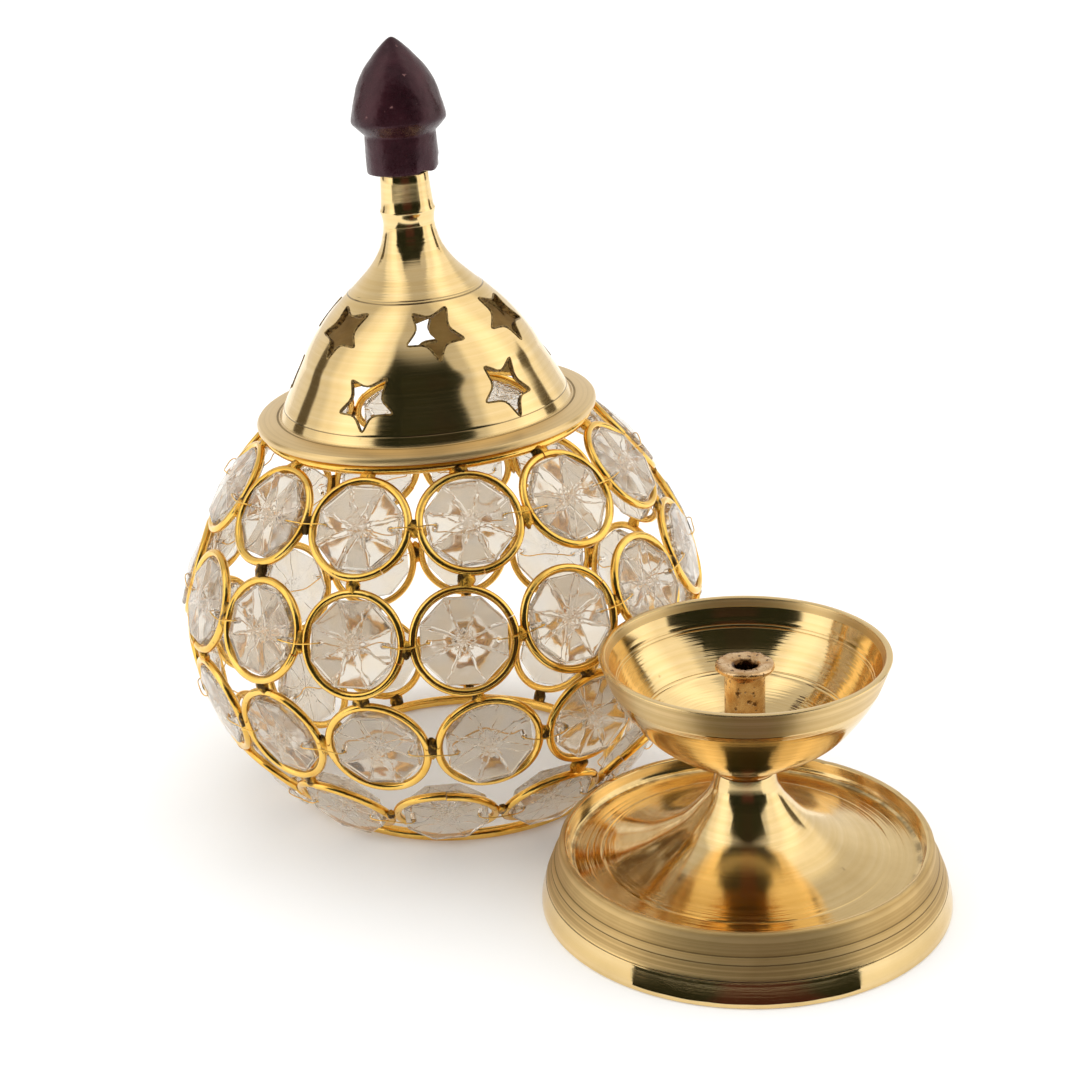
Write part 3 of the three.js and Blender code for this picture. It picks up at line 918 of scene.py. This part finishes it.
def bead_mesh(name, tables):
    """A drilled bead, with its edges just broken."""
    shape = Shape()
    shape.add(*bead_half(1, tables[0]))
    shape.add(*bead_half(-1, tables[1]))
    lower = len(bead_half(1, tables[0])[0])
    shape.faces += [[(k + 1) % 16, k, lower + k, lower + (k + 1) % 16] for k in range(16)]
    mesh = shape.mesh(name)
    tool = Shape()
    for x in (-BEAD_HOLE_X, BEAD_HOLE_X):
        wire(tool, [Vector((x, 0, -5)), Vector((x, 0, 5))], BEAD_HOLE_RADIUS, 20,
             reference=Vector((1, 0, 0)))
    edges = bmesh.new()
    edges.from_mesh(mesh)
    bmesh.ops.recalc_face_normals(edges, faces=edges.faces)
    bmesh.ops.bevel(edges, geom=edges.edges[:], offset=BEAD_BEVEL * MM, segments=1, affect="EDGES",
                    profile=0.5, clamp_overlap=True)
    edges.to_mesh(mesh)
    edges.free()
    left = cut(mesh, tool.mesh("drill"))
    left.name = name
    left.set_sharp_from_angle(angle=math.radians(8))
    left.materials.clear()
    left.materials.append(CRYSTAL)
    return left


def make_beads():
    """The beads of each row, in a few kinds, each a little turned, and the thread through them."""
    kinds = [bead_mesh("bead_table_back", (False, True)), bead_mesh("bead_table_front", (True, False))]
    for number, row in enumerate(ROWS, 1):
        chance = random.Random(40 + number)
        lean = cover_place(row["lean"])
        knots = []
        for i in range(row["count"]):
            tip = row["beads_up"] + chance.uniform(-BEAD_TIP, BEAD_TIP)
            place = ring_place(row, azimuth_of(row, i), tip)
            for axis in ("Z", "Y"):
                turn = math.radians(chance.uniform(-BEAD_TURN, BEAD_TURN))
                place = place @ Matrix.Rotation(turn, 4, axis)
            scaled = place.copy()
            scaled.translation *= MM
            name = f"crystal_{number}_{i + 1:02d}"
            node_name = f"bead_{number}_{i + 1:02d}" if number < len(ROWS) else f"bead_string_{number}"
            put(name, chance.choice(kinds), CRYSTAL, "cover", lean @ scaled, [node_name])
            knots.append(joint_place(row, i) @ Vector((0, chance.uniform(-0.4, 0.4), 1.5)))
            sag = chance.uniform(-0.9, 0.9)
            for x, y, z in ((-BEAD_HOLE_X, 0, 1.85), (-BEAD_HOLE_X, 0, -2.3), (-4, sag, -3.1),
                            (0, sag * 1.5, -3.7), (4, -sag, -3.1), (BEAD_HOLE_X, 0, -2.3),
                            (BEAD_HOLE_X, 0, 1.85)):
                knots.append(place @ Vector((x, y, z)))
        thread = Shape()
        wire(thread, spline(knots, 5, closed=True), THREAD_WIRE, 6, closed=True)
        put(f"thread_row_{number}", thread, GOLD_WIRE, "cover", lean, sharp=80)


def finish_fasteners():
    """The nut under the bowl and the screw in the knob keep their CAD shape."""
    for name in ("bowl_nut", "knob_screw"):
        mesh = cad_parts[name].data
        mesh.materials.clear()
        mesh.materials.append(STEEL)


# ---------- camera, floor and light
FLOOR_HALF = 12                 # metres, as are the next two
SHELL_RADIUS = 2.6
CARD_HEIGHT = 0.0008            # of the dark cards above the floor
CARD_AZIMUTHS = (-37, -27, -16, -6, 4, 14, 25)      # where they start at the foot's rim, degrees
CARD_SKEW = math.radians(6)     # how far to the side they run


def make_camera():
    camera = bpy.data.objects.new("camera", bpy.data.cameras.new("camera"))
    link(camera)
    camera.data.lens = CAMERA_LENS
    camera.data.sensor_width = 36
    camera.data.clip_start = 0.01
    up = Vector((0, math.sin(CAMERA_PITCH), math.cos(CAMERA_PITCH)))
    ahead = Vector((0, math.cos(CAMERA_PITCH), -math.sin(CAMERA_PITCH)))
    level = Vector((1, 0, 0))
    right = level * math.cos(CAMERA_ROLL) + up * math.sin(CAMERA_ROLL)
    over = up * math.cos(CAMERA_ROLL) - level * math.sin(CAMERA_ROLL)
    place = Matrix((right, over, -ahead)).transposed().to_4x4()
    place.translation = BASE_PLACE.translation + Vector(CAMERA_FROM_BASE) * MM
    camera.matrix_world = place
    bpy.context.scene.camera = camera


def plain_mesh(name, points, faces, material):
    mesh = bpy.data.meshes.new(name)
    mesh.from_pydata(points, [], faces)
    mesh.materials.append(material)
    obj = bpy.data.objects.new(name, mesh)
    link(obj)
    return obj


def make_floor():
    """A pale floor. It glows very faintly, and more far away, to stay as white as the studio."""
    material, tree, shader = start_material(
        "floor", Roughness=0.9, Specular_IOR_Level=0.1, Emission_Color=rgb(1, 1, 1))
    spots = object_coords(tree)
    faint = speckle(tree, spots, 3.0, 2.0, 0.5)
    distance = node(tree, "ShaderNodeVectorMath", {0: spots}, operation="LENGTH").outputs["Value"]
    feed(tree, shader,
         Base_Color=blend_colour(tree, faint, rgb(0.90, 0.90, 0.90), rgb(0.93, 0.93, 0.925)),
         Emission_Strength=spread(tree, distance, 0.5, 2.5, 0.10, 0.16))
    corners = [(FLOOR_HALF * x, FLOOR_HALF * y, 0) for x, y in ((-1, -1), (1, -1), (1, 1), (-1, 1))]
    plain_mesh("floor", corners, [[0, 1, 2, 3]], material)


def surround_material():
    """What the polished metal mirrors, by direction: a dark room behind the camera, bright windows
    left and right, and a pale ceiling. Azimuths are from the front, in radians, and a height is the
    sine of the elevation."""
    material, tree, shader = start_material("surround")
    ahead = node(tree, "ShaderNodeVectorMath", {0: object_coords(tree)}, operation="NORMALIZE")
    parts = split(tree, ahead.outputs[0])
    height = parts["Z"]
    azimuth = maths(tree, "ARCTAN2", parts["X"], times(tree, parts["Y"], -1.0))

    def off(value, middle):
        """How far a value is from a middle."""
        return maths(tree, "ABSOLUTE", maths(tree, "SUBTRACT", value, middle))

    ceiling = blend_colour(tree, spread(tree, height, 0.25, 0.95),
                           rgb(0.90, 0.88, 0.85), rgb(0.60, 0.58, 0.56))
    off_left = off(azimuth, -1.2)
    off_right = off(azimuth, 1.66)
    window = maths(tree, "MAXIMUM", spread(tree, off_left, 0.42, 0.55, 1, 0),
                   spread(tree, off_right, 0.62, 0.76, 1, 0))
    tall = spread(tree, off(height, 0.42), 0.50, 0.62, 1, 0)
    bright = spread(tree, maths(tree, "MINIMUM", off_left, off_right), 0.10, 0.32, 1, 0)
    panes = blend_colour(tree, bright, rgb(1.16, 1.12, 1.04), rgb(1.48, 1.43, 1.33))
    lit = blend_colour(tree, times(tree, window, tall), ceiling, panes)
    beyond = off(maths(tree, "ABSOLUTE", azimuth), 2.05)
    strips = times(tree, spread(tree, beyond, 0.10, 0.13, 1, 0),
                   spread(tree, height, 0.34, 0.40, 1, 0))
    striped = blend_colour(tree, strips, lit, rgb(0.12, 0.10, 0.07))
    half_width = spread(tree, height, 0.30, 0.78, 1.06, 0.60)
    off_middle = off(azimuth, spread(tree, height, 0.30, 0.78, 0.06, -0.05))
    inside = maths(tree, "SUBTRACT", half_width, off_middle)
    dark = times(tree, spread(tree, inside, -0.02, 0.03),
                 spread(tree, height, 0.76, 0.87, 1, 0))
    maroon = times(tree, spread(tree, off_middle, 0.25, 0.4, 1, 0),
                   spread(tree, height, 0.30, 0.42, 1, 0))
    room = blend_colour(tree, maroon, rgb(0.014, 0.017, 0.008), rgb(0.060, 0.024, 0.018))
    tone = blend_colour(tree, dark, striped, room)
    glow = node(tree, "ShaderNodeEmission", {"Color": tone, "Strength": 1.0}).outputs[0]
    tree.links.new(glow, tree.nodes["Material Output"].inputs["Surface"])
    tree.nodes.remove(shader)
    return material


def dark_card(base, middle):
    """A dark card, with another colour in the middle as seen from the base."""
    material, tree, shader = start_material("dark_card", Roughness=1.0, Specular_IOR_Level=0.0)
    parts = split(tree, object_coords(tree))
    across = maths(tree, "SUBTRACT", parts["X"], base.x)
    ahead = maths(tree, "SUBTRACT", base.y, parts["Y"])
    off = maths(tree, "ABSOLUTE", maths(tree, "DIVIDE", across, ahead))
    tone = blend_colour(tree, spread(tree, off, 0.22, 0.32), middle,
                        rgb(0.018, 0.020, 0.010))
    feed(tree, shader, Base_Color=tone)
    return material


def make_shell():
    """A shell around the scene."""
    steps = 24
    heights = [math.pi * (k / steps - 0.5) for k in range(steps + 1)]
    shell = turned([(SHELL_RADIUS * math.cos(t), SHELL_RADIUS * math.sin(t)) for t in heights], 48)
    return plain_mesh("surround", shell.points, shell.faces, surround_material())


def make_surround():
    """The shell, two dark cards on the floor in front of the base and one overhead. They are seen
    in reflections only."""
    cards = [make_shell()]
    base = BASE_PLACE.translation
    points = [(base.x + x, base.y + y, z) for x, y, z in (
        (-0.12, -0.115, 0.225), (0.12, -0.115, 0.225), (0.30, -0.45, 0.30), (-0.30, -0.45, 0.30))]
    cards.append(plain_mesh("overhead_flag", points, [[0, 1, 2, 3]],
                            dark_card(base, rgb(0.020, 0.018, 0.010))))
    for name, near, far in (("near_flag", 0.0005, 0.12), ("far_flag", 0.22, 1.5)):
        inner, outer = [], []
        for degrees in CARD_AZIMUTHS:
            at = math.radians(degrees)
            seen = 2 * at + CARD_SKEW
            rim = Vector((math.sin(at), -math.cos(at), 0)) * FOOT_RADIUS * MM
            away = Vector((math.sin(seen), -math.cos(seen), 0))
            start = base + rim + rise(CARD_HEIGHT)
            inner.append(start + away * near)
            outer.append(start + away * far)
        cards.append(plain_mesh(name, inner + outer[::-1], [list(range(2 * len(inner)))],
                                dark_card(base, rgb(0.060, 0.022, 0.016))))
    for card in cards:
        card.visible_camera = False
        card.visible_diffuse = False
        card.visible_shadow = False
        card.visible_transmission = False


def make_lights():
    world = bpy.data.worlds.new("studio")
    bpy.context.scene.world = world
    world.use_nodes = True
    tree = world.node_tree
    backdrop = tree.nodes["Background"]
    direction = node(tree, "ShaderNodeTexCoord").outputs["Generated"]
    tone = blend_colour(tree, spread(tree, split(tree, direction)["Z"], 0.0, 0.9),
                        rgb(1.05, 1.05, 1.04), rgb(0.95, 0.95, 0.94))
    tree.links.new(tone, backdrop.inputs["Color"])
    backdrop.inputs["Strength"].default_value = 1.0
    for name, spot, size, power in (("left_softbox", (-1.25, -0.15, 0.75), 1.3, 5.5),
                                    ("right_softbox", (1.3, -0.05, 0.7), 1.3, 4.5),
                                    ("top_softbox", (0.0, 0.45, 1.6), 1.2, 4.0)):
        data = bpy.data.lights.new(name, "AREA")
        data.shape = "SQUARE"
        data.size = size
        data.energy = power
        data.color = (1.0, 0.985, 0.95)
        light = bpy.data.objects.new(name, data)
        link(light)
        light.location = spot
        aim = rise(0.05) - Vector(spot)
        light.rotation_euler = aim.to_track_quat("-Z", "Y").to_euler()
        light.visible_camera = False
        light.visible_glossy = False
    scene = bpy.context.scene
    scene.view_settings.view_transform = "Standard"
    scene.cycles.max_bounces = 24
    scene.cycles.glossy_bounces = 14
    scene.cycles.transmission_bounces = 20


make_camera()
make_foot()
make_bowl()
make_wick_holder()
make_lid()
make_knob()
make_hoops()
for row_number, ring_row in enumerate(ROWS, 1):
    make_ring_row(row_number, ring_row)
make_links()
make_beads()
finish_fasteners()
make_floor()
make_surround()
make_lights()
